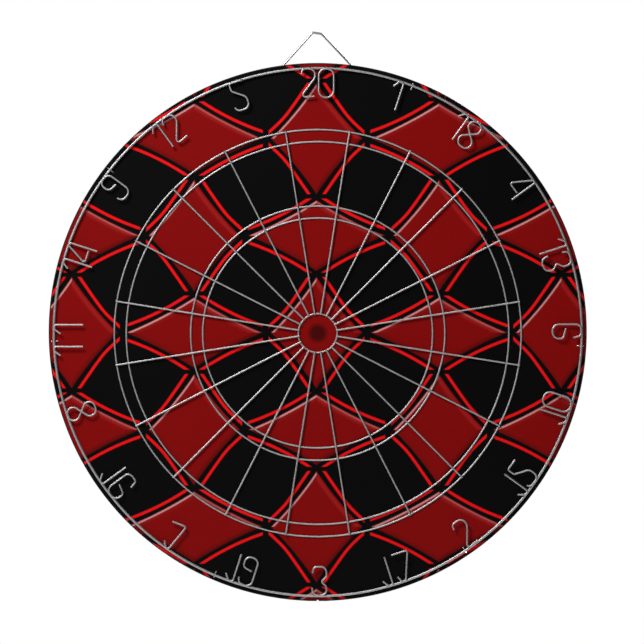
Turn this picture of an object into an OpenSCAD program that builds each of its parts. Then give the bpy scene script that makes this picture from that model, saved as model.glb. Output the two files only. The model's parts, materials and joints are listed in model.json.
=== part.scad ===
// A round wall dartboard: a wound-paper core under a steel sheet and a printed face, a welded wire
// cage that divides the score areas, a turning ring of bent-wire numbers, and a folding wire hanger.
// Millimetres. The origin is on the board's axis in the plane of the wall, the face looks along -Y,
// +Z is up and +X is to the viewer's right.

/* [Board] */
// Diameter over the rim band
board_d = 451; // [446:1:456]
// Thickness of the wound-paper core
core_t = 12; // [11:0.5:20]
// Thickness of the steel sheet that magnetic darts hold on to
steel_t = 0.6; // [0.4:0.1:1.2]
// Thickness of the printed face sheet
face_t = 0.4; // [0.2:0.1:0.8]
// Thickness of the backing sheet
back_t = 1; // [0.6:0.1:2]
// Thickness of the rim band
band_t = 0.8; // [0.5:0.1:1]

/* [Cage] */
// Diameter of the cage wire
cage_wire_d = 1.5; // [1.3:0.1:1.8]
// Centreline radius of the bull ring
bull_r = 16.3; // [15:0.1:18]
// Centreline radius of the outer treble ring
treble_r = 106.5; // [104:0.5:109]
// Centreline radius of the outer double ring
double_r = 170.5; // [168:0.5:173]
// Distance between the two rings of a treble or double lane
lane_w = 10.2; // [9.5:0.1:11]
// How far the cage sits below the board's centre
cage_drop = 0.9; // [0:0.1:1]
// Number of score sectors
sectors = 20; // [20]

/* [Number ring] */
// Diameter of the number ring's wire
ring_wire_d = 2.1; // [1.9:0.1:2.2]
// Distance from the board's edge to the ring's centreline
ring_inset = 4.5; // [4.5:0.1:6]
// Diameter of the number wire
digit_wire_d = 1.6; // [1.5:0.1:1.6]
// Height of a number between wire centrelines
digit_h = 24; // [24]
// How far the ring sits above the board's centre
ring_rise = 0; // [0:0.1:1]
// Diameter of the clip wire
clip_wire_d = 1; // [0.8:0.1:1]
// Clearance between the ring and its clips
clip_gap = 0.2; // [0.2:0.05:0.3]

/* [Hanger] */
// Diameter of the hanger wire
hanger_wire_d = 2; // [1.8:0.1:2.1]
// Height of the pivot above the board's centre
pivot_z = 206; // [204:1:208]
// Half distance between the two bends at the pivots
pivot_x = 45; // [42:1:48]
// Forward lean of the hanger at rest, against the board's back edge
hanger_lean = 1.5; // [1:0.5:1.5]

/* [Wall pads] */
// Height of the rubber pads, which sets the gap behind the board
pad_h = 5; // [5:0.5:8]
// Diameter of a pad
pad_d = 24; // [18:1:30]
// Distance of the outer pads from the board's centre
pad_r = 150; // [120:5:180]

/* [Hidden] */
$fn = 40;
ring_fn = 180;
seam = 0.1;            // gap between neighbouring stretches of a bent wire, filled by a bead
bead_extra = 0.05;     // how much prouder than the wire a bead is
bead_twist = 37;       // turns each bead's seam away from the wire's own seams
weld_bite = 0.1;       // how deep welded wires run into each other
over = 1;              // how far a cut runs past what it cuts

board_r = board_d / 2;
board_t = back_t + core_t + steel_t + face_t;
back_y = -pad_h;
face_y = back_y - board_t;
steel_y = face_y + face_t;
core_y = steel_y + steel_t;
band_in_r = board_r - band_t;
sheet_r = band_in_r - 0.1;
steel_inset = 0.4;     // how far the steel sheet stops short of the other sheets' edge
hole_gap = 0.05;       // round a pin, leg or screw in its hole
paper_gap = 0.2;       // round a part let into the core
point_r = 0.2;         // end radius of a pin's or screw's point

// Cage heights are measured forward from the face
ring_t = cage_wire_d / 2 + 0.02;
radial_t = ring_t + cage_wire_d - weld_bite;
radial_in = bull_r - 0.4;
radial_out = double_r + 0.9;
cage_radii = [bull_r, treble_r - lane_w, treble_r, double_r - lane_w, double_r];
pin_r = 0.7;
pin_depth = 9;
pin_point = 1;         // length of a pin's point
pin_angles_double = [for (i = [0:7]) 22.5 + 45 * i];
pin_angles_treble = [for (i = [0:3]) 36 + 90 * i];

// Number ring and its clips
number_ring_r = board_r - ring_inset;
clip_lift = bead_extra + 0.02; // between a clip's wire and the face
number_ring_t = clip_lift + clip_wire_d + clip_gap + ring_wire_d / 2;
digit_top_r = number_ring_r - 0.45;
digit_t = number_ring_t + (ring_wire_d + digit_wire_d) / 2 - weld_bite;
clip_bend_r = (ring_wire_d + clip_wire_d) / 2 + clip_gap;
clip_hook = 36;        // how far past the ring's outer side the clip's tip curls, in degrees
clip_foot = 3.5;       // from the ring's centreline to the leg in the board
clip_depth = 8;
clip_corner_r = 0.8;
clip_hole_r = clip_wire_d / 2 + bead_extra + hole_gap;
clip_angles = [21, 93, 146, 203, 268, 308];

// Rim band joint, at the bottom
band_slit = 1.5;
strap_l = 26;
strap_t = 0.6;
strap_w = 9;
strap_block = 20;      // height of the block that the strap is cut from
rivet_r = 1.2;
rivet_turn = 1.8;      // each rivet's angle from the slit
rivet_head_r = 2.2;
rivet_head_h = 0.5;
rivet_slope = 0.7;     // how much a rivet's head or tail stands out round its neck
rivet_tail_in = 1.8;   // from the band's inside to the end of the tail
rivet_tail_h = 1.1;

// Hanger, as points in the plane that its wire lies in: x, then height
pivot_stand = 2;       // from the board's back to the pivot's axis
pivot_y = back_y + pivot_stand;
pivot_end_x = pivot_x + 14;
hanger_points = [
    [pivot_end_x, pivot_z],
    [pivot_x, pivot_z],
    [3.4, pivot_z + 44.6],
    [-4.2, pivot_z + 45.9],
    [-pivot_x, pivot_z],
    [-pivot_end_x, pivot_z]
];
hanger_bends = [0, 4, 2.2, 2.2, 4, 0];

// Saddles that hold the hanger's ends
saddle_x = pivot_x + 7;
saddle_w = 8;
saddle_l = 22;
saddle_t = 1;
pivot_gap = 0.05;
saddle_wall = pivot_stand - hanger_wire_d / 2 - pivot_gap;   // so that the tunnel just meets the board
screw_pitch = 14;
screw_r = 1.25;
screw_head_r = 2.6;
screw_head_h = 1.5;
screw_depth = 9;
screw_point = 1.5;     // length of a screw's point
screw_chamfer = 0.7;

// The bent-wire digits, as points with the ring end at height 0 and outward up,
// each digit as [points, bend radius at each point, closed]
zero = [
    [[-6.3, 0], [6.3, 0], [6.3, -24], [-6.3, -24]],
    [6, 6, 6, 6],
    true
];
one = [
    [[-7.4, -5.2], [-3.8, 0], [0, 0], [0, -24]],
    [0, 2, 1.6, 0],
    false
];
two = [
    [[-5.8, -4.6], [-4.6, 0], [5.6, 0], [5.6, -7.5], [-6.6, -24], [5.2, -23]],
    [0, 2.5, 5, 6, 2, 0],
    false
];
three = [
    [[-5.8, -5.5], [-5, 0], [5.8, 0], [5.8, -8], [1.5, -12.5], [5.8, -16.5], [5.8, -24], [-6, -24],
     [-6.2, -17.5]],
    [0, 3, 4.5, 3, 1.6, 3, 5, 5, 0],
    false
];
four = [
    [[5, -24], [5, 0], [2.4, 0], [-7.6, -17], [3.3, -17]],
    [0, 1.1, 1.4, 1.5, 0],
    false
];
five = [
    [[5.4, 0], [-5.2, 0], [-5.2, -6.5], [5.6, -14.5], [5.6, -24], [-5, -24], [-6.4, -20.5]],
    [0, 1.5, 3, 5, 4.6, 4, 0],
    false
];
six = [
    [[5.2, -6.5], [3.4, 0], [-6, 0], [-6, -24], [6, -24], [6, -15], [-2.6, -12.8]],
    [0, 2.5, 4.5, 5.5, 5.5, 3, 0],
    false
];
seven = [
    [[-2.4, -19.8], [1.5, -24], [4.4, -24], [5.8, 0], [-6.4, -3.2]],
    [0, 1.2, 1.2, 1.5, 0],
    false
];
leaning_seven = [
    [[-7, -19], [-4.6, -24], [-1.4, -24], [7.6, -0.2], [-6.6, -0.2]],
    [0, 1.2, 1.2, 1.5, 0],
    false
];
eight = [
    [[-5.4, 0], [5.4, 0], [5.4, -7.2], [-5.8, -16.6], [-5.8, -24], [5.8, -24], [5.8, -16.6],
     [-5.4, -7.2]],
    [4.6, 4.6, 4, 4, 4.9, 4.9, 4, 4],
    true
];
nine = [
    [[2.4, -11.2], [-5.6, -9.6], [-5.6, 0], [5.6, 0], [5.6, -24], [-5.4, -24], [-6.2, -18.6]],
    [0, 4, 4.8, 4.8, 5, 4.6, 0],
    false
];

// A digit turned upside down, for the lower half of the ring
function turned(digit) = [[for (p = digit[0]) [-p.x, -digit_h - p.y]], digit[1], digit[2]];

// A digit seen in a mirror
function mirrored(digit) = [[for (p = digit[0]) [-p.x, p.y]], digit[1], digit[2]];

// Clockwise from the top: the number, then each digit with its offset from the number's own line
numbers = [
    [20, [two, -7.9], [zero, 7.1]],
    [1, [one, 4.1]],
    [18, [one, -3.6], [eight, 5.9]],
    [4, [four, 0.8]],
    [13, [one, -4.7], [three, 5.5]],
    [6, [six, -0.6]],
    [10, [turned(zero), -6.4], [mirrored(one), 3.8]],
    [15, [turned(five), -5.4], [mirrored(one), 4.3]],
    [2, [turned(two), -0.8]],
    [17, [turned(leaning_seven), -7.3], [mirrored(one), 5.2]],
    [3, [turned(three), -1.5]],
    [19, [turned(nine), -6.8], [mirrored(one), 3.3]],
    [7, [turned(seven), -1.1]],
    [16, [turned(six), -8.2], [mirrored(one), 2.9]],
    [8, [eight, -2]],
    [11, [one, -12.2], [one, 6.1]],
    [14, [one, -6.8], [four, 2.1]],
    [9, [nine, -1.7]],
    [12, [one, -6.6], [two, 3.2]],
    [5, [five, -1.4]]
];

// ---- Helpers ----

// Stands the drawing plane on the face, h forward of it: x to the right, y up, z forward
module on_face(h = 0) {
    translate([0, face_y - h, 0]) rotate([90, 0, 0]) children();
}

// A flat disc whose back is at y and whose front is t forward of it
module disc(r, t, y) {
    translate([0, y, 0]) rotate([90, 0, 0]) cylinder(r = r, h = t, $fn = ring_fn);
}

// A ring of round wire round the z axis
module wire_ring(r, wire_d) {
    rotate_extrude($fn = ring_fn) translate([r, 0]) circle(d = wire_d);
}

// The turn at b on the way from a to c, in degrees, positive to the left
function turn(a, b, c) =
    let (u = b - a, v = c - b)
    atan2(u.x * v.y - u.y * v.x, u.x * v.x + u.y * v.y);

// How far from its corner a bend of this radius starts
function bend_back(a, b, c, radius) = radius * tan(abs(turn(a, b, c)) / 2);

// One arc of a bent wire in the x-y plane, round the corner b between a and c
module wire_bend(a, b, c, radius, wire_d) {
    angle = turn(a, b, c);
    heading = atan2(b.y - a.y, b.x - a.x);
    trim = seam / radius * 180 / PI;
    start = b - bend_back(a, b, c, radius) * [cos(heading), sin(heading)];
    side = sign(angle);
    centre = start + side * radius * [-sin(heading), cos(heading)];
    first = heading - side * 90 + (side > 0 ? trim : angle + trim);
    translate([centre.x, centre.y, 0]) rotate([0, 0, first])
        rotate_extrude(angle = abs(angle) - 2 * trim) translate([radius, 0]) circle(d = wire_d);
}

// The bead that closes a wire's end and joins its stretches, its poles along the wire, which runs along x
module bead(wire_d) {
    rotate([0, 90, 0]) rotate([0, 0, bead_twist]) sphere(d = wire_d + 2 * bead_extra);
}

// One straight stretch of a bent wire, with a bead at each end
module wire_straight(from, to, wire_d) {
    heading = atan2(to.y - from.y, to.x - from.x);
    length = norm(to - from);
    translate([from.x, from.y, 0]) rotate([0, 0, heading]) {
        translate([seam, 0, 0]) rotate([0, 90, 0]) cylinder(d = wire_d, h = length - 2 * seam);
        for (x = [0, length]) translate([x, 0, 0]) bead(wire_d);
    }
}

// A round wire bent along points in the x-y plane, with a bend radius at each point
module bent_wire(points, bends, wire_d, closed = false) {
    count = len(points);
    back = [for (i = [0:count - 1]) bends[i] == 0 ? 0 :
        bend_back(points[(i + count - 1) % count], points[i], points[(i + 1) % count], bends[i])];
    for (i = [0:count - (closed ? 1 : 2)]) {
        next = (i + 1) % count;
        way = (points[next] - points[i]) / norm(points[next] - points[i]);
        wire_straight(points[i] + back[i] * way, points[next] - back[next] * way, wire_d);
    }
    for (i = [0:count - 1]) {
        if (bends[i] > 0)
            wire_bend(points[(i + count - 1) % count], points[i], points[(i + 1) % count], bends[i], wire_d);
    }
}

// Places children at each cage pin: x outward along the pin's own radius
module at_cage_pins() {
    for (a = pin_angles_double) translate([0, -cage_drop, 0]) rotate([0, 0, a]) translate([double_r, 0, 0])
        children();
    for (a = pin_angles_treble) translate([0, -cage_drop, 0]) rotate([0, 0, a])
        translate([treble_r - lane_w, 0, 0]) children();
}

// Places children at each ring clip, on the ring's centreline, x outward. Angles run clockwise from the top
module at_clips() {
    for (a = clip_angles) translate([0, ring_rise, 0]) rotate([0, 0, 90 - a])
        translate([number_ring_r, 0, 0]) children();
}

// The holes that the cage pins and the clip legs need through a sheet or into the core
module front_holes() {
    on_face() {
        at_cage_pins() translate([0, 0, -pin_depth - over])
            cylinder(r = pin_r + hole_gap, h = pin_depth + 2 * over);
        at_clips() translate([-clip_foot, 0, -clip_depth - over])
            cylinder(r = clip_hole_r, h = clip_depth + 2 * over);
    }
}

// Places children at each saddle screw, on the back of the board, z pointing at the wall
module at_saddle_screws() {
    for (x = [-saddle_x, saddle_x], dz = [-screw_pitch / 2, screw_pitch / 2])
        translate([x, back_y, pivot_z + dz]) rotate([-90, 0, 0]) children();
}

// The holes for the saddle screws
module screw_holes() {
    at_saddle_screws() translate([0, 0, -screw_depth - over])
        cylinder(r = screw_r + hole_gap, h = screw_depth + pad_h + 2 * over);
}

// Places children at each band rivet, z pointing out of the rim, at the bottom of the board
module at_rivets() {
    for (a = [-rivet_turn, rivet_turn]) translate([0, (back_y + face_y) / 2, 0]) rotate([0, a, 0])
        translate([0, 0, -band_in_r]) rotate([180, 0, 0]) children();
}

// ---- Board ----

module face_sheet() {
    color("firebrick") difference() {
        disc(sheet_r, face_t, steel_y);
        front_holes();
    }
}

module steel_sheet() {
    color("lightsteelblue") difference() {
        disc(sheet_r - steel_inset, steel_t, core_y);
        front_holes();
    }
}

module core() {
    color("tan") difference() {
        disc(sheet_r, core_t, back_y - back_t);
        front_holes();
        screw_holes();
        strap_space(paper_gap);
    }
}

module back_sheet() {
    color("dimgray") difference() {
        disc(sheet_r, back_t, back_y);
        screw_holes();
    }
}

// The strap's outline inside the band, with room added on every side, and room for the rivets' tails
module strap_space(room) {
    intersection() {
        difference() {
            disc(band_in_r + over, strap_w + 2 * room, (back_y + face_y + strap_w) / 2 + room);
            disc(band_in_r - strap_t - room, board_t, back_y);
        }
        translate([-strap_l / 2 - room, -2 * board_t, -board_r])
            cube([strap_l + 2 * room, 3 * board_t, strap_block]);
    }
    at_rivets() translate([0, 0, -rivet_tail_in - 2 * room])
        cylinder(r = rivet_r + rivet_slope + room, h = rivet_tail_in + 2 * room);
}

module rim_band() {
    color("black") difference() {
        disc(board_r, board_t, back_y);
        disc(band_in_r, board_t + 2 * over, back_y + over);
        translate([-band_slit / 2, -2 * board_t, -board_r - over])
            cube([band_slit, 3 * board_t, band_t + 2 * over]);
        at_rivets() translate([0, 0, -over]) cylinder(r = rivet_r + hole_gap, h = band_t + 2 * over);
    }
}

module band_strap() {
    color("gray") difference() {
        intersection() {
            difference() {
                disc(band_in_r - hole_gap, strap_w, (back_y + face_y + strap_w) / 2);
                disc(band_in_r - strap_t, board_t, back_y);
            }
            translate([-strap_l / 2, -2 * board_t, -board_r]) cube([strap_l, 3 * board_t, strap_block]);
        }
        at_rivets() translate([0, 0, -strap_t - over])
            cylinder(r = rivet_r + hole_gap, h = strap_t + 2 * over);
    }
}

// Each rivet's tail is spread inside the strap, and its head sits proud of the band
module band_rivets() {
    head_gap = 0.06;
    neck_in = rivet_tail_in - 0.2;
    color("silver") at_rivets() {
        translate([0, 0, -neck_in]) cylinder(r = rivet_r, h = neck_in + band_t + 0.2);
        translate([0, 0, -rivet_tail_in]) cylinder(r = rivet_r + rivet_slope, h = rivet_tail_h);
        translate([0, 0, band_t + head_gap])
            cylinder(r1 = rivet_head_r, r2 = rivet_head_r - rivet_slope, h = rivet_head_h);
    }
}

// ---- Cage ----

module cage_ring(i) {
    color("darkgray") on_face(ring_t) translate([0, -cage_drop, 0]) wire_ring(cage_radii[i], cage_wire_d);
}

module sector_wire(i) {
    color("silver") on_face(radial_t) translate([0, -cage_drop, 0])
        rotate([0, 0, 90 - (i - 0.5) * 360 / sectors]) translate([radial_in, 0, 0]) rotate([0, 90, 0])
        cylinder(d = cage_wire_d, h = radial_out - radial_in);
}

module cage_pins() {
    color("gray") on_face() at_cage_pins() {
        translate([0, 0, pin_point - pin_depth]) cylinder(r = pin_r, h = pin_depth - pin_point + ring_t);
        translate([0, 0, -pin_depth]) cylinder(r1 = point_r, r2 = pin_r, h = pin_point);
    }
}

// ---- Number ring ----

module number_ring() {
    color("silver") on_face(number_ring_t) translate([0, ring_rise, 0]) wire_ring(number_ring_r, ring_wire_d);
}

// Every clip is a wire that leaves the board inside the ring, passes behind it and hooks round its outer side
module ring_clips() {
    foot_h = clip_lift + clip_wire_d / 2;
    trim = seam / clip_bend_r * 180 / PI;
    color("whitesmoke") on_face() at_clips() rotate([90, 0, 0]) {
        bent_wire([[-clip_foot, -clip_depth], [-clip_foot, foot_h], [0, foot_h]], [0, clip_corner_r, 0],
            clip_wire_d);
        translate([0, number_ring_t, 0]) rotate([0, 0, -90 + trim])
            rotate_extrude(angle = 90 + clip_hook - trim) translate([clip_bend_r, 0]) circle(d = clip_wire_d);
        translate([0, number_ring_t, 0]) rotate([0, 0, clip_hook]) translate([clip_bend_r, 0, 0])
            rotate([0, 0, 90]) bead(clip_wire_d);
    }
}

// One number: its digits side by side, hanging inwards from the ring at the number's own place
module number(n) {
    place = [for (i = [0:sectors - 1]) if (numbers[i][0] == n) i][0];
    color("silver") on_face(digit_t) translate([0, ring_rise, 0]) rotate([0, 0, -place * 360 / sectors]) {
        for (k = [1:len(numbers[place]) - 1]) {
            digit = numbers[place][k][0];
            translate([numbers[place][k][1], digit_top_r, 0])
                bent_wire(digit[0], digit[1], digit_wire_d, digit[2]);
        }
    }
}

// ---- Hanger and back ----

module hanger() {
    color("silver") translate([0, pivot_y, pivot_z]) rotate([90 + hanger_lean, 0, 0])
        translate([0, -pivot_z, 0]) bent_wire(hanger_points, hanger_bends, hanger_wire_d);
}

// Each saddle is a pressed strip with a round tunnel over the hanger's end and a screw on each side of it
module hanger_saddles() {
    tunnel_r = hanger_wire_d / 2 + pivot_gap;
    color("lightgray") for (x = [-saddle_x, saddle_x]) difference() {
        union() {
            translate([x - saddle_w / 2, back_y, pivot_z - saddle_l / 2])
                cube([saddle_w, saddle_t, saddle_l]);
            translate([x - saddle_w / 2, pivot_y, pivot_z]) rotate([0, 90, 0])
                cylinder(r = tunnel_r + saddle_wall, h = saddle_w);
            translate([x - saddle_w / 2, back_y, pivot_z - tunnel_r - saddle_wall])
                cube([saddle_w, pivot_y - back_y, 2 * (tunnel_r + saddle_wall)]);
        }
        translate([x - saddle_w, pivot_y, pivot_z]) rotate([0, 90, 0])
            cylinder(r = tunnel_r, h = 2 * saddle_w);
        screw_holes();
    }
}

module saddle_screws() {
    cross_w = 0.7;
    cross_l = 3;
    cross_deep = 0.8;
    head_z = saddle_t + 0.02;
    color("dimgray") at_saddle_screws() difference() {
        union() {
            translate([0, 0, screw_point - screw_depth])
                cylinder(r = screw_r, h = screw_depth - screw_point + head_z + 0.1);
            translate([0, 0, -screw_depth]) cylinder(r1 = point_r, r2 = screw_r, h = screw_point);
            translate([0, 0, head_z])
                cylinder(r1 = screw_head_r, r2 = screw_head_r - screw_chamfer, h = screw_head_h);
        }
        for (a = [0, 90]) rotate([0, 0, a])
            translate([-cross_l / 2, -cross_w / 2, head_z + screw_head_h - cross_deep])
            cube([cross_l, cross_w, cross_deep + over]);
    }
}

module wall_pads() {
    bevel = 1;
    spots = concat([[0, 0]], [for (a = [45:90:315]) pad_r * [cos(a), sin(a)]]);
    color("black") for (p = spots) translate([p.x, back_y, p.y]) rotate([-90, 0, 0]) {
        cylinder(d = pad_d, h = pad_h - bevel, $fn = 96);
        translate([0, 0, pad_h - bevel]) cylinder(d1 = pad_d, d2 = pad_d - 2 * bevel, h = bevel, $fn = 96);
    }
}

face_sheet();
steel_sheet();
core();
back_sheet();
rim_band();
band_strap();
band_rivets();
cage_ring(0);  // bull_ring
cage_ring(1);  // treble_ring_inner
cage_ring(2);  // treble_ring_outer
cage_ring(3);  // double_ring_inner
cage_ring(4);  // double_ring_outer
for (i = [1:sectors]) sector_wire(i);
cage_pins();
number_ring();
ring_clips();
for (n = numbers) number(n[0]);
hanger();
hanger_saddles();
saddle_screws();
wall_pads();
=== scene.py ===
# Looks of a round wall dartboard: printed face, welded wire cage, bent-wire numbers, wire hanger.
# Metres, in the frame of the CAD part: the face looks along -Y, +Z is up, +X is to the viewer's right.
import json
import math
import random

import bmesh
import bpy
from mathutils import Matrix, Vector


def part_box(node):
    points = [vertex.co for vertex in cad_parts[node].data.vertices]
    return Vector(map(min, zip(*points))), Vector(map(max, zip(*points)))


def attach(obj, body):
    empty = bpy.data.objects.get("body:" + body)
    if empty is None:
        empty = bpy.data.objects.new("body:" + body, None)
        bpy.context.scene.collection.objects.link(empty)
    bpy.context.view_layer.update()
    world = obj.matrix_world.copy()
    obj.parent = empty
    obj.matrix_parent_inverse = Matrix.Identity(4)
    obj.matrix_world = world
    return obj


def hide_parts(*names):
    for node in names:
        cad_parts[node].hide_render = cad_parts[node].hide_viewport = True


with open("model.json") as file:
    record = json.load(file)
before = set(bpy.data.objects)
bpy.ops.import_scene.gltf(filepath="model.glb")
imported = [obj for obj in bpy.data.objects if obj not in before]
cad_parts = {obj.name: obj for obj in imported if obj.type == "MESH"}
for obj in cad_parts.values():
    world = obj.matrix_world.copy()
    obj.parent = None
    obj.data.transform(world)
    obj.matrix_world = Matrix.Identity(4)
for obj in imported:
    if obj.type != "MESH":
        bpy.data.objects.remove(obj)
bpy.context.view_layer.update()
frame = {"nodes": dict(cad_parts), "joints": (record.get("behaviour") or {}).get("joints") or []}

MM = 0.001
random.seed(7)

# ---- Places, all from the frame ----

SECTORS = 20
NUMBER_ORDER = [20, 1, 18, 4, 13, 6, 10, 15, 2, 17, 3, 19, 7, 16, 8, 11, 14, 9, 12, 5]
CAGE_RINGS = ["bull_ring", "treble_ring_inner", "treble_ring_outer", "double_ring_inner", "double_ring_outer"]


def middle(node):
    low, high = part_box(node)
    return (low + high) / 2


def ring_of(node):
    """(centre, centreline radius, wire radius) of a CAD ring of round wire."""
    low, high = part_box(node)
    wire_r = (high.y - low.y) / 2
    return (low + high) / 2, (high.x - low.x) / 2 - wire_r, wire_r


FACE_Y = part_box("face_sheet")[0].y
BACK_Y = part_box("back_sheet")[1].y
BAND_LOW, BAND_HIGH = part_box("rim_band")
BOARD_R = (BAND_HIGH.x - BAND_LOW.x) / 2
CAGE_CENTRE, BULL_R, CAGE_WIRE_R = ring_of("bull_ring")
DOUBLE_R = ring_of("double_ring_outer")[1]
RING_CENTRE, RING_R, RING_WIRE_R = ring_of("number_ring")
NUMBER_Y = middle("number_11").y
SECTOR_Y = middle("sector_wire_1").y
PIVOT = Vector(next(j for j in frame["joints"] if j["name"] == "hanger_fold")["pos_m"])


# ---- Shader trees ----

class Term:
    """A number in a shader tree. Sums with it add Math nodes."""

    def __init__(self, tree, socket):
        self.tree = tree
        self.socket = socket

    def do(self, operation, *others):
        node = self.tree.nodes.new("ShaderNodeMath")
        node.operation = operation
        for place, value in zip(node.inputs, (self, *others)):
            feed(self.tree, place, value)
        return Term(self.tree, node.outputs[0])

    def __add__(self, other):
        return self.do("ADD", other)

    def __sub__(self, other):
        return self.do("SUBTRACT", other)

    def __mul__(self, other):
        return self.do("MULTIPLY", other)

    def __truediv__(self, other):
        return self.do("DIVIDE", other)

    def __neg__(self):
        return self.do("MULTIPLY", -1)

    def clip(self):
        held = self.do("ADD", 0)
        held.socket.node.use_clamp = True
        return held

    def ramp(self, low, high):
        """0 where the number is low, 1 where it is high, in a straight line between."""
        return ((self - low) / (high - low)).clip()

    def band(self, centre, half_width, soft):
        """1 within half_width of centre, fading to 0 over soft, half of it on each side of the edge."""
        return (self - centre).do("ABSOLUTE").ramp(half_width + soft / 2, half_width - soft / 2)


def feed(tree, place, value):
    """Gives an input socket a plain number, or links a Term to it."""
    if isinstance(value, Term):
        tree.links.new(value.socket, place)
    else:
        place.default_value = value


class Shader:
    """A material with one Principled shader, and short ways to feed it."""

    def __init__(self, name, **settings):
        self.material = bpy.data.materials.new(name)
        self.material.use_nodes = True
        self.tree = self.material.node_tree
        self.principled = self.tree.nodes["Principled BSDF"]
        for socket, value in settings.items():
            self.principled.inputs[socket.replace("_", " ")].default_value = value

    def place(self):
        """x, y and z of the piece's own frame, in millimetres."""
        node = self.tree.nodes.new("ShaderNodeTexCoord")
        split = self.tree.nodes.new("ShaderNodeSeparateXYZ")
        self.tree.links.new(node.outputs["Object"], split.inputs[0])
        return [Term(self.tree, out) * (1 / MM) for out in split.outputs]

    def point(self, x, y, z):
        node = self.tree.nodes.new("ShaderNodeCombineXYZ")
        for place, value in zip(node.inputs, (x, y, z)):
            feed(self.tree, place, value)
        return node.outputs[0]

    def noise(self, point, scale, detail=3, roughness=0.5, distortion=0):
        """Noise between about 0 and 1 at a point in millimetres; scale is in cycles a millimetre."""
        node = self.tree.nodes.new("ShaderNodeTexNoise")
        node.inputs["Scale"].default_value = scale
        node.inputs["Detail"].default_value = detail
        node.inputs["Roughness"].default_value = roughness
        node.inputs["Distortion"].default_value = distortion
        self.tree.links.new(point, node.inputs["Vector"])
        return Term(self.tree, node.outputs[0])

    def mix(self, share, first, second):
        """A colour between two others, which are either (r, g, b) or sockets."""
        node = self.tree.nodes.new("ShaderNodeMix")
        node.data_type = "RGBA"
        self.tree.links.new(share.socket, node.inputs[0])
        for place, value in ((node.inputs[6], first), (node.inputs[7], second)):
            if isinstance(value, tuple):
                place.default_value = (*value, 1)
            else:
                self.tree.links.new(value, place)
        return node.outputs[2]

    def colour(self, socket):
        self.tree.links.new(socket, self.principled.inputs["Base Color"])

    def rough(self, term):
        self.tree.links.new(term.socket, self.principled.inputs["Roughness"])

    def bump(self, height, distance):
        """height is a Term from about 0 to 1, and distance what 1 stands for, in metres."""
        node = self.tree.nodes.new("ShaderNodeBump")
        node.inputs["Distance"].default_value = distance
        self.tree.links.new(height.socket, node.inputs["Height"])
        self.tree.links.new(node.outputs[0], self.principled.inputs["Normal"])


# ---- The print: diamonds and panels on a centred lattice, in millimetres ----

# One cell's width and height, the middle diamond's centre, and a diamond's half width and half height
LATTICE_W, LATTICE_H = 205.1, 162.7
LATTICE_X, LATTICE_Z = -1.0, -0.5
DIAMOND_W, DIAMOND_H = 42.6, 48.5
# The corners that a panel's edges run between, in a quarter of the cell
SIDE, TOP = (DIAMOND_W, 0), (0, DIAMOND_H)
FAR_SIDE = (LATTICE_W / 2 - DIAMOND_W, LATTICE_H / 2)
# Half the bright line's width, how deep past its curve the red ends, and how soft a printed edge is
LINE_HALF = 1.15
RED_FROM = -4.05
SOFT = 0.7


def curved_edge(start, end, lowest, left, u, v):
    """For an edge that bows into its panel from the chord between start and end: how deep a point lies past
    the chord, the square of its share of the way along from the edge's lowest place, and the way in."""
    way = Vector((end[0] - start[0], end[1] - start[1]))
    along = way.normalized()
    inward = Vector((-along.y, along.x)) if left else Vector((along.y, -along.x))
    share = ((u - start[0]) * along.x + (v - start[1]) * along.y) / way.length - lowest
    off = (u - start[0]) * inward.x + (v - start[1]) * inward.y
    return off, share * share, inward


def panel_edges(u, v):
    """How deep a point lies past each edge's bright line, and past the red's limit, and both ways in.
    Edge a's line rises straight both ways from an eased corner. The other curves are parabolas."""
    lowest_a, line_rise_a, line_ease_a, red_rise_a = 0.36, 8, 0.12, 7.2
    lowest_b, line_rise_b, line_inset_b, red_rise_b, red_inset_b = 0.63, 11, 0.5, 6.5, 0.35
    off_a, square_a, in_a = curved_edge(SIDE, TOP, lowest_a, False, u, v)
    off_b, square_b, in_b = curved_edge(FAR_SIDE, TOP, lowest_b, True, u, v)
    eased_a = (square_a + line_ease_a ** 2).do("SQRT") * line_rise_a
    past_line_a = off_a - eased_a + line_ease_a * line_rise_a
    past_line_b = off_b - square_b * line_rise_b - line_inset_b
    past_red = (off_a - square_a * red_rise_a).do("MINIMUM", off_b - square_b * red_rise_b - red_inset_b)
    return (past_line_a, past_line_b), past_red, in_a, in_b


def line_gap(u, v):
    """1 where panels' corners meet and their lines stop, at a diamond's side and at its top."""
    side_half, side_reach, top_half, top_reach = 2.5, 14, 1.9, 16
    at_side = (u - DIAMOND_W).band(0, side_half, SOFT) * v.do("LESS_THAN", side_reach)
    at_top = (v - DIAMOND_H).band(0, top_half, SOFT) * u.do("LESS_THAN", top_reach)
    return at_side.do("MAXIMUM", at_top)


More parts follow.
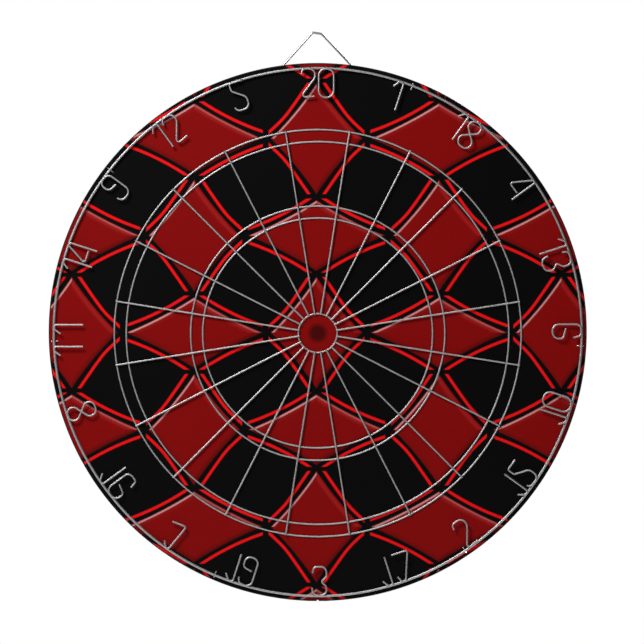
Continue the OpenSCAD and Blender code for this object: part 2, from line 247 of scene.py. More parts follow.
def lattice_print(x, z):
    """At a place on the face: how deep it lies in the black, how much of a bright line it is, and the x and z
    of the way in from the nearest edge."""
    # Folded into one quarter of the lattice cell, with a diamond at (0, 0) and panels as one quad
    from_x = (x - LATTICE_X).do("WRAP", LATTICE_W / 2, -LATTICE_W / 2)
    from_z = (z - LATTICE_Z).do("WRAP", LATTICE_H / 2, -LATTICE_H / 2)
    u, v = from_x.do("ABSOLUTE"), from_z.do("ABSOLUTE")
    opposite = -u + LATTICE_W / 2, -v + LATTICE_H / 2
    (near_a, near_b), near_red, in_a, in_b = panel_edges(u, v)
    (far_a, far_b), far_red, _, _ = panel_edges(*opposite)
    near, far = near_a.do("MINIMUM", near_b), far_a.do("MINIMUM", far_b)
    depth = near.do("MINIMUM", far)
    inside = near_red.do("MINIMUM", far_red) - RED_FROM
    gaps = line_gap(u, v).do("MAXIMUM", line_gap(*opposite))
    line = depth.band(0, LINE_HALF, SOFT) * (-gaps + 1)
    half = near.do("LESS_THAN", far) * 2 - 1
    on_a = near_a.do("MINIMUM", far_a).do("LESS_THAN", near_b.do("MINIMUM", far_b))
    in_x = from_x.do("SIGN") * half * (on_a * (in_a.x - in_b.x) + in_b.x)
    in_z = from_z.do("SIGN") * half * (on_a * (in_a.y - in_b.y) + in_b.y)
    return inside, line, in_x, in_z


# ---- Materials ----

def printed_face():
    """Red diamonds and black panels, each panel lined in bright red, with printed bevels on the red."""
    black, red = (0.0008, 0.0008, 0.0008), (0.205, 0.0012, 0.0012)
    bright, pale, glow = (0.76, 0.004, 0.006), (0.64, 0.31, 0.31), (0.40, 0.016, 0.016)
    shade, dark_bull = (0.02, 0.001, 0.001), (0.055, 0.0003, 0.0003)
    # Each bevel band's centre, half width and softness, as depths in the black, which are negative in the red
    pale_band, glow_band = (-1.15, 0.55, 1.1), (-2.6, 0.5, 4.5)
    shade_from, shade_most = -4.2, 0.75
    bull_edge, bull_full = 9.5, 5.0

    s = Shader("printed_film", Roughness=0.40, Specular_IOR_Level=0.10)
    x, _, z = s.place()
    inside, line, in_x, in_z = lattice_print(x, z)

    def looks(way_x, way_z, low, high):
        """1 where the nearest edge looks the way given, fading to 0 as it turns from it."""
        return (in_x * way_x + in_z * way_z).ramp(low, high)

    colour = s.mix(inside.band(*glow_band) * looks(0.6, 0.8, 0.1, 1.1), red, glow)
    in_shade = inside.ramp(shade_from, 0) * looks(0.35, -0.94, 0.1, 1.1) * shade_most
    colour = s.mix(in_shade, colour, shade)
    colour = s.mix(inside.band(*pale_band) * looks(-0.5, 0.87, 0.3, 1.0), colour, pale)
    colour = s.mix(inside.ramp(SOFT / 2, -SOFT / 2), black, colour)
    colour = s.mix(line, colour, bright)

    # The bull is a soft dark disc
    from_bull = z - CAGE_CENTRE.z / MM
    across = (x * x + from_bull * from_bull).do("SQRT")
    s.colour(s.mix(across.ramp(bull_edge, bull_full), colour, dark_bull))
    s.bump(s.noise(s.point(x, 0.0, z), 0.7, 4, 0.6), 0.00003)
    return s.material


def wire_metal(name, tone, roughness, dirt):
    """Drawn and galvanised wire: fine lines along it, dull patches and a little grime."""
    s = Shader(name, Metallic=1.0)
    x, y, z = s.place()
    place = s.point(x, y, z)
    patches = s.noise(place, 0.35, 4, 0.6)
    grain = s.noise(place, 4.0, 3, 0.65)
    shade = (patches * 0.6 + grain * 0.4).ramp(0.25, 0.75)
    low = tuple(c * (1 - dirt) for c in tone)
    s.colour(s.mix(shade, low, tone))
    s.rough(grain * 0.16 + patches * 0.14 + (roughness - 0.15))
    s.bump(grain * 0.6 + patches * 0.4, 0.00003)
    return s.material


def enamel_band():
    """Black enamel on a steel strip, with a faint orange peel and rubbed patches."""
    s = Shader("black_enamel", Specular_IOR_Level=0.35)
    x, y, z = s.place()
    place = s.point(x, y, z)
    peel = s.noise(place, 1.1, 2, 0.5)
    rubbed = s.noise(place, 0.06, 5, 0.7).ramp(0.58, 0.72)
    s.colour(s.mix(rubbed, (0.010, 0.010, 0.011), (0.030, 0.029, 0.029)))
    s.rough(rubbed * 0.18 + peel * 0.08 + 0.32)
    s.bump(peel, 0.00008)
    return s.material


def pressed_board():
    """Dark pressed fibreboard: matted fibres, paler flecks and scuffs."""
    s = Shader("pressed_board", Specular_IOR_Level=0.25)
    x, y, z = s.place()
    fibre = s.noise(s.point(x, y, z * 3.2), 0.55, 5, 0.7, 1.6)
    cross = s.noise(s.point(x * 3.2, y, z), 0.55, 5, 0.7, 1.6)
    clouds = s.noise(s.point(x, y, z), 0.018, 4, 0.6)
    flecks = s.noise(s.point(x, y, z), 1.3, 2, 0.5).ramp(0.66, 0.74)
    base = s.mix(clouds.ramp(0.3, 0.7), (0.030, 0.026, 0.023), (0.052, 0.045, 0.039))
    base = s.mix(fibre.do("MAXIMUM", cross).ramp(0.5, 0.8), base, (0.085, 0.073, 0.060))
    base = s.mix(flecks * 0.7, base, (0.22, 0.18, 0.13))
    s.colour(base)
    s.rough(fibre * 0.2 + 0.66)
    s.bump(fibre * 0.5 + cross * 0.5, 0.00018)
    return s.material


def wound_paper():
    """The core: a paper strip wound round and round, seen on edge as fine rings."""
    s = Shader("wound_paper", Specular_IOR_Level=0.2)
    x, y, z = s.place()
    across = (x * x + z * z).do("SQRT")
    wander = s.noise(s.point(x, y, z), 0.05, 3, 0.5)
    turns = ((across + wander * 3) * 5.2).do("SINE") * 0.5 + 0.5
    fuzz = s.noise(s.point(x, y, z), 2.2, 4, 0.7)
    s.colour(s.mix((turns * 0.6 + fuzz * 0.4).clip(), (0.30, 0.22, 0.13), (0.56, 0.45, 0.31)))
    s.rough(fuzz * 0.15 + 0.78)
    s.bump(turns * 0.7 + fuzz * 0.3, 0.00012)
    return s.material


def bright_zinc(name, tone, roughness):
    """Zinc plate with soft spangle, handling marks and dulled patches."""
    s = Shader(name, Metallic=1.0)
    x, y, z = s.place()
    place = s.point(x, y, z)
    cells = s.tree.nodes.new("ShaderNodeTexVoronoi")
    cells.inputs["Scale"].default_value = 0.45
    s.tree.links.new(place, cells.inputs["Vector"])
    spangle = Term(s.tree, cells.outputs["Distance"])
    haze = s.noise(place, 0.25, 5, 0.65)
    scratch = s.noise(s.point(x * 7, y, z), 0.9, 2, 0.4).ramp(0.62, 0.7)
    s.colour(s.mix((haze * 0.7 + spangle * 0.3).clip(), tuple(c * 0.72 for c in tone), tone))
    s.rough(haze * 0.18 + scratch * 0.15 + (roughness - 0.09))
    s.bump(haze * 0.5 + spangle * 0.3 + scratch * 0.2, 0.00005)
    return s.material


def matt_rubber():
    """Moulded rubber with a bloom of dust and a fine texture."""
    s = Shader("matt_rubber", Specular_IOR_Level=0.3)
    x, y, z = s.place()
    place = s.point(x, y, z)
    bloom = s.noise(place, 0.12, 4, 0.6)
    grit = s.noise(place, 3.5, 2, 0.6)
    s.colour(s.mix(bloom.ramp(0.35, 0.75), (0.016, 0.016, 0.016), (0.040, 0.039, 0.037)))
    s.rough(grit * 0.12 + 0.72)
    s.bump(grit, 0.00008)
    return s.material


PRINT = printed_face()
CAGE_METAL = wire_metal("cage_wire_metal", (0.56, 0.55, 0.55), 0.52, 0.30)
NUMBER_METAL = wire_metal("number_wire_metal", (0.53, 0.52, 0.52), 0.50, 0.28)
CLIP_METAL = wire_metal("clip_wire_metal", (0.80, 0.80, 0.81), 0.30, 0.20)
HANGER_METAL = wire_metal("hanger_wire_metal", (0.60, 0.60, 0.61), 0.38, 0.30)
ZINC = bright_zinc("zinc_plate", (0.66, 0.67, 0.69), 0.34)
SCREW_METAL = bright_zinc("screw_plate", (0.60, 0.58, 0.50), 0.30)
SHEET_STEEL = bright_zinc("sheet_steel_bare", (0.55, 0.56, 0.58), 0.42)
ENAMEL = enamel_band()
BOARD_BACK = pressed_board()
PAPER = wound_paper()
RUBBER = matt_rubber()


# ---- Making pieces ----

SHARP = math.radians(38)


def piece(name, mesh, material, body, slot, *replaced):
    """A new piece from a bmesh, on its body, in its material, standing for the CAD nodes it replaces."""
    bmesh.ops.recalc_face_normals(mesh, faces=mesh.faces)
    data = bpy.data.meshes.new(name)
    mesh.to_mesh(data)
    mesh.free()
    data.set_sharp_from_angle(angle=SHARP)
    data.materials.append(material)
    made = bpy.data.objects.new(name, data)
    bpy.context.scene.collection.objects.link(made)
    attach(made, body)
    if replaced:
        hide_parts(*replaced)
    return made


def finish_node(node, material):
    """Gives a CAD node that stays its material."""
    data = frame["nodes"][node].data
    data.materials.clear()
    data.materials.append(material)


def arc(*degrees):
    """The (cosine, sine) of each angle."""
    return [(math.cos(math.radians(d)), math.sin(math.radians(d))) for d in degrees]


def rounded(corners, bends, step=9):
    """The corners, 2-D or 3-D, as one smooth line, each bent to its radius, a point every step degrees."""
    corners = [Vector(c).to_3d() for c in corners]
    line = []
    for i, (corner, radius) in enumerate(zip(corners, bends)):
        if radius == 0:
            line.append(corner)
            continue
        to_last = (corners[i - 1] - corner).normalized()
        to_next = (corners[(i + 1) % len(corners)] - corner).normalized()
        angle = math.pi - to_last.angle(to_next)
        back = radius * math.tan(angle / 2)
        centre = corner + (to_last + to_next).normalized() * (radius / math.cos(angle / 2))
        start = corner + to_last * back - centre
        steps = max(3, round(math.degrees(angle) / step))
        for k in range(steps + 1):
            turn = angle * k / steps
            line.append(centre + start * math.cos(turn) - to_last * (radius * math.sin(turn)))
    return line


def thicken(mesh, line, radius, closed=False, sides=12, swell=None):
    """Adds a round wire along a line to a bmesh. swell gives how much thicker it is at each point."""
    count = len(line)
    swell = swell or [1] * count
    ahead = []
    for i in range(count):
        before = line[i - 1] if closed or i else line[i]
        after = line[(i + 1) % count] if closed or i < count - 1 else line[i]
        ahead.append((after - before).normalized())
    across = ahead[0].orthogonal().normalized()
    places = []
    for i in range(count):
        across = (across - ahead[i] * across.dot(ahead[i])).normalized()
        places.append((line[i], ahead[i], across.copy(), radius * swell[i]))
    twist = 0
    if closed:
        back = (across - ahead[0] * across.dot(ahead[0])).normalized()
        start = places[0][2]
        twist = math.atan2(start.cross(back).dot(ahead[0]), start.dot(back))
    else:
        # The cut ends keep a small chamfer
        chamfer = radius * 0.16

        def cut_end(place, way):
            """The narrow ring at the cut, and the full one a chamfer's length further in."""
            point, heading, side, thick = place
            at_cut = (point, heading, side, thick - chamfer)
            return at_cut, (point + heading * way * chamfer, heading, side, thick)

        first_cut, first = cut_end(places[0], 1)
        last_cut, last = cut_end(places[-1], -1)
        places = [first_cut, first, *places[1:-1], last, last_cut]
    rings = []
    for i, (point, heading, side, r) in enumerate(places):
        turn = -twist * i / len(places)
        other = heading.cross(side)
        ring = []
        for k in range(sides):
            angle = 2 * math.pi * k / sides + turn
            ring.append(mesh.verts.new(point + (side * math.cos(angle) + other * math.sin(angle)) * r))
        rings.append(ring)
    pairs = list(zip(rings, rings[1:])) + ([(rings[-1], rings[0])] if closed else [])
    for one, two in pairs:
        for k in range(sides):
            face = mesh.faces.new((one[k], one[(k + 1) % sides], two[(k + 1) % sides], two[k]))
            face.smooth = True
    if not closed:
        mesh.faces.new(rings[0])
        mesh.faces.new(rings[-1])


def nugget(mesh, centre, size):
    """Adds a weld: a small uneven lump where two wires meet. size is its radius along x, y and z."""
    made = bmesh.ops.create_icosphere(mesh, subdivisions=2, radius=1)
    lean = Matrix.Rotation(random.uniform(0, math.pi), 3, "Y")
    uneven = Vector(random.uniform(0.88, 1.14) * s for s in size)
    for vert in made["verts"]:
        lump = 1 + random.uniform(-0.05, 0.05)
        vert.co = centre + lean @ Vector(c * s * lump for c, s in zip(vert.co, uneven))
        for face in vert.link_faces:
            face.smooth = True


def lathe(mesh, profile, origin, axis, start=0.0, end=2 * math.pi, steps=48):
    """Adds a turned shape: profile is (radius, height) pairs, turned about axis at origin. Heights run
    along the axis. A part turn gets flat ends, and a profile from axis to axis is closed there."""
    axis = axis.normalized()
    side = axis.orthogonal().normalized() if abs(axis.y) < 0.9 else Vector((1, 0, 0))
    other = axis.cross(side)
    whole = end - start > 2 * math.pi - 1e-6
    rows = []
    for i in range(steps if whole else steps + 1):
        angle = start + (end - start) * i / steps
        out = side * math.cos(angle) + other * math.sin(angle)
        rows.append([mesh.verts.new(origin + out * r + axis * h) for r, h in profile])
    pairs = list(zip(rows, rows[1:])) + ([(rows[-1], rows[0])] if whole else [])
    count = len(profile)
    on_axis = profile[0][0] == 0
    for one, two in pairs:
        for k in range(count - on_axis):
            corners = (one[k], one[(k + 1) % count], two[(k + 1) % count], two[k])
            mesh.faces.new(corners).smooth = True
    if on_axis:
        bmesh.ops.remove_doubles(mesh, verts=[row[k] for row in rows for k in (0, -1)], dist=MM / 1000)
    if not whole:
        mesh.faces.new(rows[0])
        mesh.faces.new(rows[-1])


def weld_swell(count, length, where, extra=0.14, reach=1.3 * MM):
    """How much thicker a closed wire is at each point, with one butt weld at the share where of its turn."""
    gaps = [abs((i / count - where + 0.5) % 1 - 0.5) * length for i in range(count)]
    return [1 + extra * math.exp(-(g / reach) ** 2) for g in gaps]


def around(centre, radius, clockwise, y):
    """The point at a clock angle in degrees round a centre, seen from the front."""
    a = math.radians(clockwise)
    return Vector((centre.x + radius * math.sin(a), y, centre.z + radius * math.cos(a)))


# ---- Cage ----

CAGE_WELD = (1.02 * MM, 0.62 * MM, 1.02 * MM)


def cage_ring(node, weld_at):
    """A ring of the cage, slightly wavy, with its butt weld at the share weld_at of its turn."""
    centre, radius, wire_r = ring_of(node)
    count = max(72, round(2 * math.pi * radius / (2.5 * MM)))
    phase = random.uniform(0, 2 * math.pi)
    line = []
    for i in range(count):
        turn = 2 * math.pi * i / count
        wander = 0.10 * MM * math.sin(3 * turn + phase) + 0.06 * MM * math.sin(7 * turn + 2 * phase)
        line.append(around(centre, radius + wander, math.degrees(turn), centre.y))
    mesh = bmesh.new()
    thicken(mesh, line, wire_r, True, 12, weld_swell(count, 2 * math.pi * radius, weld_at))
    piece(f"wire_{node}", mesh, CAGE_METAL, "board", "cage_wire", node)


def sector_wire(i):
    """A straight wire from the bull ring to the outer double ring, welded to each ring it crosses.
    Its angle, its slight bow and its inner end vary a little from wire to wire."""
    clockwise = (i - 0.5) * 360 / SECTORS + random.uniform(-0.12, 0.12)
    bow = random.uniform(-0.15, 0.15) * MM
    start = BULL_R - 0.4 * MM + random.uniform(-0.3, 0.1) * MM
    end = DOUBLE_R + 0.85 * MM
    mesh = bmesh.new()
    line = []
    parts = 16
    for k in range(parts + 1):
        share = k / parts
        point = around(CAGE_CENTRE, start + (end - start) * share, clockwise, SECTOR_Y)
        sideways = around(Vector(), 1, clockwise + 90, 0)
        line.append(point + sideways * (bow * math.sin(math.pi * share)))
    thicken(mesh, line, CAGE_WIRE_R)
    for ring in CAGE_RINGS:
        centre, radius, _ = ring_of(ring)
        spot = around(centre, radius, clockwise, (centre.y + SECTOR_Y) / 2)
        nugget(mesh, spot, CAGE_WELD)
    piece(f"wire_sector_{i}", mesh, CAGE_METAL, "board", "cage_wire", f"sector_wire_{i}")


# ---- Number ring ----

# Bent-wire digits in millimetres: the outer end at height 0, outward up, as points, bends and closed
DIGIT_H = 24
DIGIT_TOP = -0.45
ZERO = ([(-6.3, 0), (6.3, 0), (6.3, -24), (-6.3, -24)], [6, 6, 6, 6], True)
ONE = ([(-7.4, -5.2), (-3.8, 0), (0, 0), (0, -24)], [0, 2, 1.6, 0], False)
TWO = ([(-5.8, -4.6), (-4.6, 0), (5.6, 0), (5.6, -7.5), (-6.6, -24), (5.2, -23)],
       [0, 2.5, 5, 6, 2, 0], False)
THREE = ([(-5.8, -5.5), (-5, 0), (5.8, 0), (5.8, -8), (1.5, -12.5), (5.8, -16.5), (5.8, -24), (-6, -24),
          (-6.2, -17.5)], [0, 3, 4.5, 3, 1.6, 3, 5, 5, 0], False)
FOUR = ([(5, -24), (5, 0), (2.4, 0), (-7.6, -17), (3.3, -17)], [0, 1.1, 1.4, 1.5, 0], False)
FIVE = ([(5.4, 0), (-5.2, 0), (-5.2, -6.5), (5.6, -14.5), (5.6, -24), (-5, -24), (-6.4, -20.5)],
        [0, 1.5, 3, 5, 4.6, 4, 0], False)
SIX = ([(5.2, -6.5), (3.4, 0), (-6, 0), (-6, -24), (6, -24), (6, -15), (-2.6, -12.8)],
       [0, 2.5, 4.5, 5.5, 5.5, 3, 0], False)
SEVEN = ([(-2.4, -19.8), (1.5, -24), (4.4, -24), (5.8, 0), (-6.4, -3.2)], [0, 1.2, 1.2, 1.5, 0], False)
LEANING_SEVEN = ([(-7, -19), (-4.6, -24), (-1.4, -24), (7.6, -0.2), (-6.6, -0.2)],
                 [0, 1.2, 1.2, 1.5, 0], False)
EIGHT = ([(-5.4, 0), (5.4, 0), (5.4, -7.2), (-5.8, -16.6), (-5.8, -24), (5.8, -24), (5.8, -16.6),
          (-5.4, -7.2)], [4.6, 4.6, 4, 4, 4.9, 4.9, 4, 4], True)
NINE = ([(2.4, -11.2), (-5.6, -9.6), (-5.6, 0), (5.6, 0), (5.6, -24), (-5.4, -24), (-6.2, -18.6)],
        [0, 4, 4.8, 4.8, 5, 4.6, 0], False)


def turned(digit):
    """A digit upside down, for the lower half of the ring."""
    return [(-x, -DIGIT_H - y) for x, y in digit[0]], digit[1], digit[2]


def mirrored(digit):
    return [(-x, y) for x, y in digit[0]], digit[1], digit[2]


# Each number's digits, with their offsets from the number's own line
DIGITS = {
    20: [(TWO, -7.9), (ZERO, 7.1)],
    1: [(ONE, 4.1)],
    18: [(ONE, -3.6), (EIGHT, 5.9)],
    4: [(FOUR, 0.8)],
    13: [(ONE, -4.7), (THREE, 5.5)],
    6: [(SIX, -0.6)],
    10: [(turned(ZERO), -6.4), (mirrored(ONE), 3.8)],
    15: [(turned(FIVE), -5.4), (mirrored(ONE), 4.3)],
    2: [(turned(TWO), -0.8)],
    17: [(turned(LEANING_SEVEN), -7.3), (mirrored(ONE), 5.2)],
    3: [(turned(THREE), -1.5)],
    19: [(turned(NINE), -6.8), (mirrored(ONE), 3.3)],
    7: [(turned(SEVEN), -1.1)],
    16: [(turned(SIX), -8.2), (mirrored(ONE), 2.9)],
    8: [(EIGHT, -2)],
    11: [(ONE, -12.2), (ONE, 6.1)],
    14: [(ONE, -6.8), (FOUR, 2.1)],
    9: [(NINE, -1.7)],
    12: [(ONE, -6.6), (TWO, 3.2)],
    5: [(FIVE, -1.4)],
}
DIGIT_WIRE_R = 0.8 * MM
DIGIT_STEP = 1.5
NUMBER_WELD = (1.15 * MM, 0.9 * MM, 1.15 * MM)
OVER_RING = 0.6 * MM


def number_ring():
    """The ring of round wire, with its butt weld at the left."""
    count = 720
    line = []
    for i in range(count):
        turn = 2 * math.pi * i / count
        wander = 0.08 * MM * math.sin(4 * turn + 1) + 0.05 * MM * math.sin(9 * turn)
        line.append(around(RING_CENTRE, RING_R + wander, math.degrees(turn), RING_CENTRE.y))
    mesh = bmesh.new()
    swell = weld_swell(count, 2 * math.pi * RING_R, where=0.735, extra=0.12, reach=1.8 * MM)
    thicken(mesh, line, RING_WIRE_R, True, 14, swell)
    piece("wire_number_ring", mesh, NUMBER_METAL, "number_ring", "number_wire", "number_ring")


def spread(line, closed, step):
    """The line with points no further apart than step."""
    out = []
    ends = list(zip(line, line[1:])) + ([(line[-1], line[0])] if closed else [])
    for one, two in ends:
        parts = max(1, math.ceil((two - one).length / step))
        out += [one.lerp(two, k / parts) for k in range(parts)]
    return out if closed else out + [line[-1]]


def number_wires(number):
    """One number's bent wires, each welded to the ring where it first and last runs over it."""
    clockwise = NUMBER_ORDER.index(number) * 360 / SECTORS
    upright = Matrix.Rotation(math.radians(clockwise), 3, "Y")
    mesh = bmesh.new()
    for (corners, bends, closed), offset in DIGITS[number]:
        flat = spread(rounded(corners, bends), closed, DIGIT_STEP)
        line = []
        for p in flat:
            from_ring = Vector((p.x + offset, 0, p.y + DIGIT_TOP)) * MM + Vector((0, 0, RING_R))
            place = upright @ from_ring
            line.append(Vector((RING_CENTRE.x + place.x, NUMBER_Y, RING_CENTRE.z + place.z)))
        thicken(mesh, line, DIGIT_WIRE_R, closed, 14)
        over = []
        for p in line:
            away = math.hypot(p.x - RING_CENTRE.x, p.z - RING_CENTRE.z) - RING_R
            if abs(away) < OVER_RING:
                over.append(p)
        for p in over[:1] + over[1:][-1:]:
            weld = Vector((p.x, (NUMBER_Y + RING_CENTRE.y) / 2, p.z))
            nugget(mesh, weld, NUMBER_WELD)
    piece(f"wire_number_{number}", mesh, NUMBER_METAL, "number_ring", "number_wire", f"number_{number}")


# ---- Ring clips ----

CLIP_ANGLES = [21, 93, 146, 203, 268, 308]
CLIP_WIRE_R = 0.5 * MM
CLIP_GAP = 0.2 * MM


def ring_clip(i, clockwise):
    """A wire that leaves the board inside the ring, passes behind it and hooks round its outer side."""
    foot, deep, foot_bend = -3.5 * MM, -8 * MM, 0.8 * MM
    hook, parts = 36, 26
    bend = RING_WIRE_R + CLIP_WIRE_R + CLIP_GAP
    ring_out = FACE_Y - RING_CENTRE.y
    low = ring_out - bend
    flat = rounded([(foot, deep), (foot, low), (0, low)], [0, foot_bend, 0])
    for k in range(1, parts + 1):
        angle = math.radians(-90 + (90 + hook) * k / parts)
        flat.append(Vector((bend * math.cos(angle), ring_out + bend * math.sin(angle), 0)))
    line = [around(RING_CENTRE, RING_R + p.x, clockwise, FACE_Y - p.y) for p in flat]
    mesh = bmesh.new()
    thicken(mesh, line, CLIP_WIRE_R, False, 10)
    piece(f"clip_{i}", mesh, CLIP_METAL, "board", "clip_wire", "ring_clips")


# ---- Rim ----

def rim_band():
    """A steel strip with eased edges round the board, with its joint at the bottom."""
    outer, inner, ease, inner_ease = BOARD_R, BOARD_R - 0.8 * MM, 0.28 * MM, 0.05 * MM
    corners = [(inner, BACK_Y), (outer, BACK_Y), (outer, FACE_Y), (inner, FACE_Y)]
    profile = [(p.x, p.y) for p in rounded(corners, [inner_ease, ease, ease, inner_ease], 18)]
    half_slit = 0.75 * MM / outer
    down = math.pi / 2
    mesh = bmesh.new()
    lathe(mesh, profile, Vector(), Vector((0, 1, 0)), down + half_slit, down + 2 * math.pi - half_slit, 480)
    piece("band_strip", mesh, ENAMEL, "board", "band", "rim_band")


RIVET_OFF = 1.8


def band_rivet(i, clockwise):
    """A domed rivet head on the band, with its shank and spread tail inside."""
    out = around(Vector(), 1, clockwise, 0)
    head_r, head_h, head_from = 2.2, 0.5, 0.06
    shank_r, tail_r, tail_from, tail_end = 1.2, 1.9, -1.5, -2.6
    profile = [(0, tail_end), (tail_r, tail_end), (tail_r, tail_from), (shank_r, tail_from + 0.1)]
    profile += [(shank_r, head_from - 0.01), (head_r, head_from)]
    profile += [(head_r * c, head_from + head_h * s) for c, s in arc(15, 30, 45, 60, 75)]
    profile += [(0, head_from + head_h)]
    mesh = bmesh.new()
    origin = out * BOARD_R + Vector((0, (FACE_Y + BACK_Y) / 2, 0))
    lathe(mesh, [(r * MM, h * MM) for r, h in profile], origin, out, steps=32)
    piece(f"rivet_{i}", mesh, ZINC, "board", "zinc", "band_rivets")


# ---- Hanger and back ----

HANGER_WIRE_R = 1.0 * MM


def hanger():
    """One bent wire: two straight ends that turn in the saddles, and a peak that leans a little forward."""
    lean, bow_most, bow_h = math.radians(1.5), 0.25 * MM, 45
    shoulder, peak = 4, 2.2
    corners = [(59, 0), (45, 0), (3.4, 44.6), (-4.2, 45.9), (-45, 0), (-59, 0)]
    flat = spread(rounded(corners, [0, shoulder, peak, peak, shoulder, 0]), False, 3)
    line = []
    for p in flat:
        up = p.y * MM
        bow = bow_most * math.sin(math.pi * min(1, p.y / bow_h)) * (1 if p.x > 0 else -1)
        line.append(PIVOT + Vector((p.x * MM + bow, -up * math.sin(lean), up * math.cos(lean))))
    mesh = bmesh.new()
    thicken(mesh, line, HANGER_WIRE_R, False, 14)
    piece("wire_hanger", mesh, HANGER_METAL, "hanger", "hanger_wire", "hanger")


SADDLE_X = 52 * MM
SCREW_OFF = 7 * MM


def saddle(name, x):
    """A pressed strip over the hanger's end: flat feet with round ends and a tunnel between them."""
    foot, half_w, thick, end_r = 11.0, 4.0, 1.0, 3
    inner, outer, fillet = 1.05, 2.0, 1.1
    up = PIVOT.y / MM - BACK_Y / MM
    over_end = [-foot + end_r * k / 8 for k in range(1, 9)]

    def both_sides(left):
        """An outline that ends on the middle line, with its mirror image."""
        return left + [(-z, y) for z, y in reversed(left[:-1])]

    above = [(-foot, 0), (-foot, thick)] + [(z, thick) for z in over_end] + [(-outer - fillet, thick)]
    above += [(-outer - fillet + fillet * s, thick + fillet - fillet * c) for c, s in arc(20, 40, 60)]
    above += [(-outer * c, up + outer * s) for c, s in arc(*range(10, 91, 10))]
    below = [(z, 0) for z in over_end] + [(-inner, 0)]
    below += [(-inner * c, up + inner * s) for c, s in arc(*range(0, 91, 10))]
    outline = both_sides(above) + both_sides(below)[::-1]

    def half_width(z):
        past = abs(z) - (foot - end_r)
        return half_w if past <= 0 else half_w - end_r + math.sqrt(max(0, end_r ** 2 - past ** 2))

    mesh = bmesh.new()
    sides = []
    for way in (-1, 1):
        sides.append([mesh.verts.new((x + way * half_width(z) * MM, BACK_Y + y * MM, PIVOT.z + z * MM))
                      for z, y in outline])
    count = len(outline)
    for k in range(count):
        mesh.faces.new((sides[0][k], sides[0][(k + 1) % count], sides[1][(k + 1) % count], sides[1][k]))
    mesh.faces.new(sides[0])
    mesh.faces.new(sides[1])
    made = piece(name, mesh, ZINC, "board", "zinc", "hanger_saddles")
    bevel = made.modifiers.new("eased_edges", "BEVEL")
    bevel.width = 0.14 * MM
    bevel.segments = 2
    bevel.limit_method = "ANGLE"
    bevel.angle_limit = math.radians(40)


def saddle_screw(name, x, z):
    """A pan-head screw with a cross recess."""
    head_r, head_h, shank_r, start = 2.6, 1.5, 1.25, 1.02
    tip, taper_from, side_h = -9, -7.5, 0.35
    recess_l, recess_deep, recess_w, recess_taper = 3.0, 1.6, 0.72, 0.55
    profile = [(0, tip), (shank_r, taper_from), (shank_r, start - 0.02)]
    profile += [(head_r - 0.1, start), (head_r, start + 0.15)]
    profile += [(head_r * c ** 0.6, start + side_h + (head_h - side_h) * s) for c, s in
                arc(10, 25, 40, 55, 70, 80)]
    profile += [(0, start + head_h)]
    origin = Vector((x, BACK_Y, z))
    mesh = bmesh.new()
    lathe(mesh, [(r * MM, h * MM) for r, h in profile], origin, Vector((0, 1, 0)), steps=40)
    made = piece(name, mesh, SCREW_METAL, "board", "screw", "saddle_screws")
    cross = bmesh.new()
    turn = random.uniform(0, math.pi)
    for quarter in (0, 1):
        arm = bmesh.ops.create_cube(cross, size=1)["verts"]
        spin = Matrix.Rotation(turn + quarter * math.pi / 2, 3, "Y")
        for vert in arm:
            taper = recess_taper if vert.co.y < 0 else 1
            size = Vector((recess_l * taper, recess_deep, recess_w * taper))
            vert.co = spin @ (vert.co * size) * MM
            vert.co += origin + Vector((0, (start + head_h) * MM, 0))
    cutter_mesh = bpy.data.meshes.new("cross_cutter")
    cross.to_mesh(cutter_mesh)
    cross.free()
    cutter = bpy.data.objects.new("cross_cutter", cutter_mesh)
    bpy.context.scene.collection.objects.link(cutter)
    cut = made.modifiers.new("cross", "BOOLEAN")
    cut.object = cutter
    cut.solver = "EXACT"
    cut.use_self = True
    settle(made)
    bpy.data.objects.remove(cutter)


def settle(made):
    """Applies a piece's modifiers to its mesh."""
    bpy.context.view_layer.update()
    settled = bpy.data.meshes.new_from_object(made.evaluated_get(bpy.context.evaluated_depsgraph_get()))
    made.modifiers.clear()
    made.data = settled


PAD_CIRCLE_R = 150 * MM


def wall_pad(i, x, z):
    """A moulded rubber pad: eased rim, two shallow grooves and a gate mark in the middle."""
    r, h, ease, foot_ease = 12.0, -BACK_Y / MM, 1.0, 0.3
    groove_top, groove_bottom, groove_deep = 0.5, 0.3, 0.35
    gate_r, gate_deep = 1.6, 0.3
    profile = [(0, 0), (r - foot_ease, 0), (r, foot_ease)]
    profile += [(r - ease + ease * c, h - ease + ease * s) for c, s in arc(0, 18, 36, 54, 72, 90)]
    for groove in (9.0, 6.0):
        profile += [(groove + groove_top, h), (groove + groove_bottom, h - groove_deep)]
        profile += [(groove - groove_bottom, h - groove_deep), (groove - groove_top, h)]
    profile += [(gate_r, h), (gate_r - gate_deep, h - gate_deep), (0, h - gate_deep)]
    mesh = bmesh.new()
    origin = Vector((x, BACK_Y, z))
    lathe(mesh, [(a * MM, b * MM) for a, b in profile], origin, Vector((0, 1, 0)), steps=64)
    piece(f"pad_{i}", mesh, RUBBER, "board", "pad", "wall_pads")


# ---- Build ----

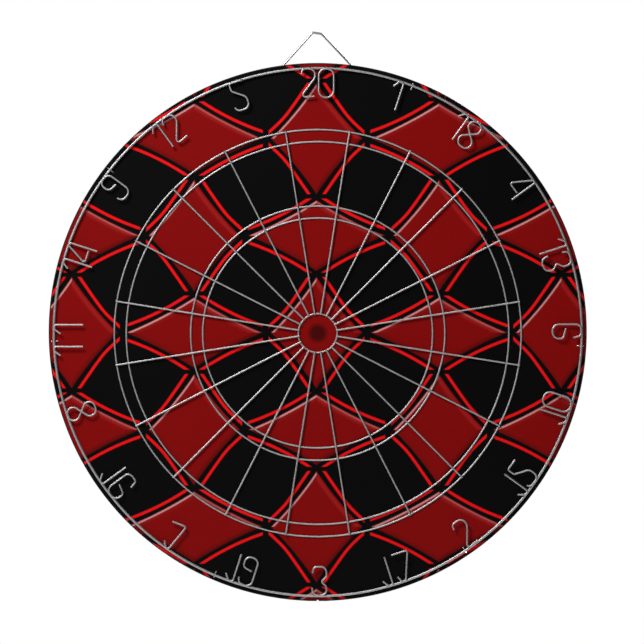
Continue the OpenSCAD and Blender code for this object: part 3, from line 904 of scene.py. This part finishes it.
# Each cage ring's butt weld lies 0.21 of a turn on from the last one's
for place, name in enumerate(CAGE_RINGS):
    cage_ring(name, 0.13 + 0.21 * place)
for wire in range(1, SECTORS + 1):
    sector_wire(wire)
number_ring()
for value in NUMBER_ORDER:
    number_wires(value)
for place, angle in enumerate(CLIP_ANGLES):
    ring_clip(place + 1, angle)
rim_band()
band_rivet(1, 180 - RIVET_OFF)
band_rivet(2, 180 + RIVET_OFF)
hanger()
for name, x in (("saddle_left", -SADDLE_X), ("saddle_right", SADDLE_X)):
    saddle(name, x)
    saddle_screw(f"{name}_upper_screw", x, PIVOT.z + SCREW_OFF)
    saddle_screw(f"{name}_lower_screw", x, PIVOT.z - SCREW_OFF)
wall_pad(0, 0, 0)
for place, angle in enumerate((45, 135, 225, 315)):
    spot = around(Vector(), PAD_CIRCLE_R, angle, 0)
    wall_pad(place + 1, spot.x, spot.z)

finish_node("face_sheet", PRINT)
finish_node("steel_sheet", SHEET_STEEL)
finish_node("core", PAPER)
finish_node("back_sheet", BOARD_BACK)
finish_node("band_strap", ZINC)
finish_node("cage_pins", CAGE_METAL)


# ---- Camera, lights, floor ----

scene = bpy.context.scene
scene.view_settings.view_transform = "Standard"

CAMERA_AWAY = 4.0
VIEW_W = 0.5397
VIEW_X, VIEW_Z = 0.0036, 0.0084
SENSOR_W = 36
camera_data = bpy.data.cameras.new("camera")
camera_data.sensor_width = SENSOR_W
camera_data.lens = SENSOR_W * CAMERA_AWAY / VIEW_W
camera_data.clip_end = 50
camera = bpy.data.objects.new("camera", camera_data)
camera.location = (VIEW_X, FACE_Y - CAMERA_AWAY, VIEW_Z)
camera.rotation_euler = (math.radians(90), 0, 0)
scene.collection.objects.link(camera)
scene.camera = camera


def area_light(name, place, aim, size, power, shines=True):
    """A round lamp. One that doesn't shine lights surfaces evenly and leaves no reflection."""
    data = bpy.data.lights.new(name, "AREA")
    data.shape = "DISK"
    data.size = size
    data.energy = power
    lamp = bpy.data.objects.new(name, data)
    lamp.location = place
    lamp.visible_glossy = shines
    lamp.rotation_euler = (Vector(aim) - Vector(place)).to_track_quat("-Z", "Y").to_euler()
    scene.collection.objects.link(lamp)


area_light("key", (-0.68, -1.0, 0.92), (0, 0, 0), 0.5, 22)
area_light("fill", (1.3, -1.6, -0.1), (0, 0, 0), 1.2, 2.5, False)
area_light("back_key", (0.9, 1.5, 1.2), (0, 0, 0), 0.8, 34)
area_light("back_fill", (-1.4, 1.2, 0.2), (0, 0, 0), 1.2, 14)

world = bpy.data.worlds.new("studio")
world.use_nodes = True
scene.world = world
background = world.node_tree.nodes["Background"]
background.inputs["Color"].default_value = (1, 1, 1, 1)


def strength_by_ray(tree, socket, lighting, seen):
    """Gives a glow one strength as light on other things, and another where it is looked at."""
    path = tree.nodes.new("ShaderNodeLightPath")
    mix = tree.nodes.new("ShaderNodeMix")
    mix.inputs[2].default_value = lighting
    mix.inputs[3].default_value = seen
    tree.links.new(path.outputs["Is Camera Ray"], mix.inputs[0])
    tree.links.new(mix.outputs[0], socket)


strength_by_ray(world.node_tree, background.inputs["Strength"], 0.10, 1.0)

FLOOR_Z = -0.45
FLOOR_R = 2.4
floor_mesh = bmesh.new()
bmesh.ops.create_circle(floor_mesh, cap_ends=True, segments=96, radius=FLOOR_R)
floor_data = bpy.data.meshes.new("floor")
floor_mesh.to_mesh(floor_data)
floor_mesh.free()
floor = bpy.data.objects.new("floor", floor_data)
floor.location = (0, 0, FLOOR_Z)
floor_shader = Shader("pale_floor", Roughness=0.7, Emission_Color=(1, 1, 1, 1))
floor_x, floor_y, _ = floor_shader.place()
floor_patches = floor_shader.noise(floor_shader.point(floor_x, floor_y, 0.0), 0.02)
floor_shader.colour(floor_shader.mix(floor_patches, (0.80, 0.80, 0.80), (0.84, 0.84, 0.84)))
strength_by_ray(floor_shader.tree, floor_shader.principled.inputs["Emission Strength"], 0.0, 0.5)
floor_data.materials.append(floor_shader.material)
scene.collection.objects.link(floor)
